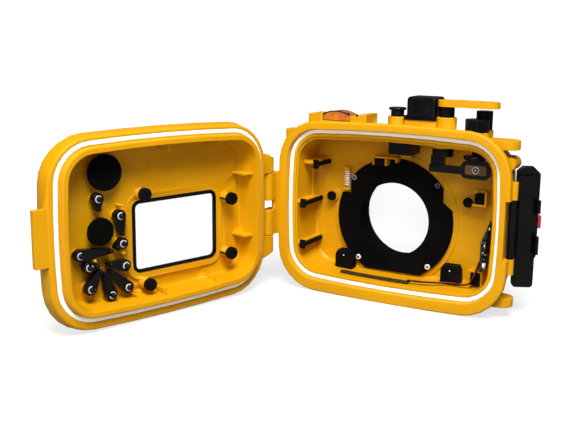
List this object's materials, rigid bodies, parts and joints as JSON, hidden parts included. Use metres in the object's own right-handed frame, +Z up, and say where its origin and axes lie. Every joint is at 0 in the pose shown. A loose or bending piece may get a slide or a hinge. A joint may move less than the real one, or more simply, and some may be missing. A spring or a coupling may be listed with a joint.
{
  "type": "underwater camera housing",
  "caption": "Hinged waterproof camera case, standing open, with a front port, seals, a side latch, top controls and a back door with screen window, wheels and sprung buttons.",
  "frame": {"origin": "on the flat underside of the base pad, below the shell's seal centre and 12 mm towards the lens from the seal plane", "axes": "+Z up, +Y the way the lens port points, +X towards the latch side, away from the hinge"},
  "size_m": [0.2335, 0.2193, 0.1314],
  "materials": {
    "yellow_plastic": "satin moulded",
    "black_plastic": "satin",
    "black_rubber": "matte",
    "cream_rubber": "satin silicone",
    "steel": "polished",
    "red_plastic": "satin",
    "red_insulation": "satin",
    "circuit": "satin",
    "brown_strip": "matte",
    "clear_plastic": "clear",
    "amber_plastic": "translucent"
  },
  "bodies": {
    "shell": {"front_shell": "yellow_plastic", "shell_seal": "cream_rubber", "port_plate": "black_plastic", "port_barrel": "black_plastic", "port_glass": "clear_plastic", "plate_screw_1": "steel", "plate_screw_2": "steel", "plate_screw_3": "steel", "plate_screw_4": "steel", "plate_spring": "steel", "pad_left_upper": "black_rubber", "pad_left_middle": "black_rubber", "pad_left_lower": "black_rubber", "pad_round_left": "black_rubber", "pad_round_right": "black_rubber", "pad_square_right": "black_rubber", "pad_top": "black_rubber", "pad_corner": "black_rubber", "foot_block_left": "black_rubber", "foot_block_right": "black_rubber", "leak_strip": "brown_strip", "sensor_board": "circuit", "sensor_wire_red": "red_insulation", "sensor_wire_black": "black_rubber", "shoe_cover": "black_plastic", "flash_window": "amber_plastic", "hinge_pin_lower": "steel", "hinge_pin_upper": "steel"},
    "door": {"back_door": "yellow_plastic", "door_seal": "cream_rubber", "window_frame": "black_plastic", "window_glass": "clear_plastic"},
    "trigger": {"shutter_lever": "yellow_plastic", "shutter_arm": "black_plastic"},
    "power_button": {"top_button": "black_plastic"},
    "mode_turner": {"mode_dial": "black_plastic"},
    "zoom_turner": {"zoom_knob": "black_plastic"},
    "latch": {"latch_hook": "black_plastic", "latch_cover": "black_plastic"},
    "lock": {"lock_button": "red_plastic"},
    "door_wheel_upper": {"upper_wheel": "black_plastic"},
    "door_wheel_lower": {"lower_wheel": "black_plastic"},
    "press_1": {"button_1": "black_plastic", "button_1_arm": "black_plastic"},
    "press_2": {"button_2": "black_plastic", "button_2_arm": "black_plastic"},
    "press_3": {"button_3": "black_plastic", "button_3_arm": "black_plastic"},
    "press_4": {"button_4": "black_plastic", "button_4_arm": "black_plastic"},
    "press_5": {"button_5": "black_plastic", "button_5_arm": "black_plastic"},
    "press_6": {"button_6": "black_plastic", "button_6_arm": "black_plastic"},
    "press_7": {"button_7": "black_plastic", "button_7_arm": "black_plastic"},
    "press_8": {"button_8": "black_plastic", "button_8_arm": "black_plastic"},
    "press_9": {"button_9": "black_plastic", "button_9_arm": "black_plastic"}
  },
  "joints": [
    {"name": "door_hinge", "type": "hinge", "parent": "shell", "child": "door", "pos_m": [-0.0825, -0.02125, 0.0565], "axis": [0, 0, 1], "range_deg": [0, 108]},
    {"name": "latch_hinge", "type": "hinge", "parent": "shell", "child": "latch", "pos_m": [0.0776, -0.0075, 0.0563], "axis": [0, 0, -1], "range_deg": [0, 115]},
    {"name": "lock_slide", "type": "slide", "parent": "latch", "child": "lock", "axis": [0, 0, 1], "range_m": [0, 0.003]},
    {"name": "shutter_turn", "type": "hinge", "parent": "shell", "child": "trigger", "pos_m": [0.0324, -0.001, 0.1], "axis": [0, 0, -1], "range_deg": [0, 12], "stiffness_Nm_per_rad": 0.05},
    {"name": "power_press", "type": "slide", "parent": "shell", "child": "power_button", "axis": [0, 0, -1], "range_m": [0, 0.002], "stiffness_N_per_m": 400, "springref_m": -0.001},
    {"name": "mode_turn", "type": "hinge", "parent": "shell", "child": "mode_turner", "pos_m": [0.0518, -0.002, 0.1], "axis": [0, 0, 1], "continuous": true},
    {"name": "zoom_turn", "type": "hinge", "parent": "shell", "child": "zoom_turner", "pos_m": [0.0522, 0.0114, 0.12], "axis": [0, 0, 1], "range_deg": [-30, 30], "stiffness_Nm_per_rad": 0.02},
    {"name": "upper_wheel_turn", "type": "hinge", "parent": "door", "child": "door_wheel_upper", "pos_m": [-0.11958, -0.13538, 0.0902], "axis": [0.9511, -0.309, 0], "continuous": true},
    {"name": "lower_wheel_turn", "type": "hinge", "parent": "door", "child": "door_wheel_lower", "pos_m": [-0.12076, -0.13899, 0.0564], "axis": [0.9511, -0.309, 0], "continuous": true},
    {"name": "press_1_slide", "type": "slide", "parent": "door", "child": "press_1", "axis": [0.9511, -0.309, 0], "range_m": [0, 0.0015], "stiffness_N_per_m": 400, "springref_m": -0.001},
    {"name": "press_2_slide", "type": "slide", "parent": "door", "child": "press_2", "axis": [0.9511, -0.309, 0], "range_m": [0, 0.0015], "stiffness_N_per_m": 400, "springref_m": -0.001},
    {"name": "press_3_slide", "type": "slide", "parent": "door", "child": "press_3", "axis": [0.9511, -0.309, 0], "range_m": [0, 0.0015], "stiffness_N_per_m": 400, "springref_m": -0.001},
    {"name": "press_4_slide", "type": "slide", "parent": "door", "child": "press_4", "axis": [0.9511, -0.309, 0], "range_m": [0, 0.0015], "stiffness_N_per_m": 400, "springref_m": -0.001},
    {"name": "press_5_slide", "type": "slide", "parent": "door", "child": "press_5", "axis": [0.9511, -0.309, 0], "range_m": [0, 0.0015], "stiffness_N_per_m": 400, "springref_m": -0.001},
    {"name": "press_6_slide", "type": "slide", "parent": "door", "child": "press_6", "axis": [0.9511, -0.309, 0], "range_m": [0, 0.0015], "stiffness_N_per_m": 400, "springref_m": -0.001},
    {"name": "press_7_slide", "type": "slide", "parent": "door", "child": "press_7", "axis": [0.9511, -0.309, 0], "range_m": [0, 0.0015], "stiffness_N_per_m": 400, "springref_m": -0.001},
    {"name": "press_8_slide", "type": "slide", "parent": "door", "child": "press_8", "axis": [0.9511, -0.309, 0], "range_m": [0, 0.0015], "stiffness_N_per_m": 400, "springref_m": -0.001},
    {"name": "press_9_slide", "type": "slide", "parent": "door", "child": "press_9", "axis": [0.9511, -0.309, 0], "range_m": [0, 0.0015], "stiffness_N_per_m": 400, "springref_m": -0.001}
  ]
}
